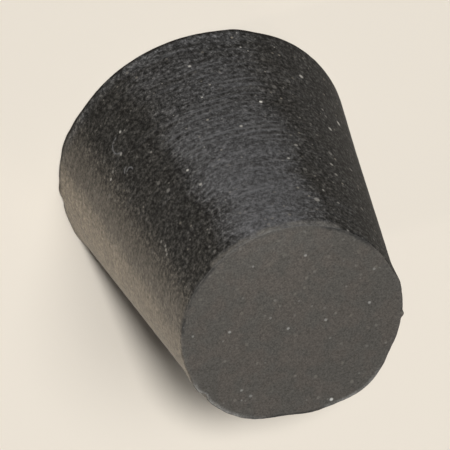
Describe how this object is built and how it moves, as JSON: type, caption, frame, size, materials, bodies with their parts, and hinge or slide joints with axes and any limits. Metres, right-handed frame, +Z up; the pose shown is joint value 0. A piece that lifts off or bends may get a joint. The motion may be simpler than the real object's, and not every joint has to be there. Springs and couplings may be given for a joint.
{
  "type": "rubber stopper",
  "caption": "Solid black rubber stopper, a short tapered plug that is pushed small end first into a flask or test tube neck to seal it.",
  "frame": {"origin": "centre of the large end's flat face, on the surface that the stopper stands on", "axes": "+Z up the axis from the large end to the small end; the stopper is round, so X and Y are free"},
  "size_m": [0.024, 0.024, 0.025],
  "materials": {
    "rubber": "matt near-black moulded rubber, smooth flat ends, a finely ground side with faint lines round it, small pale specks"
  },
  "bodies": {
    "root": {"stopper": "rubber"}
  },
  "joints": []
}
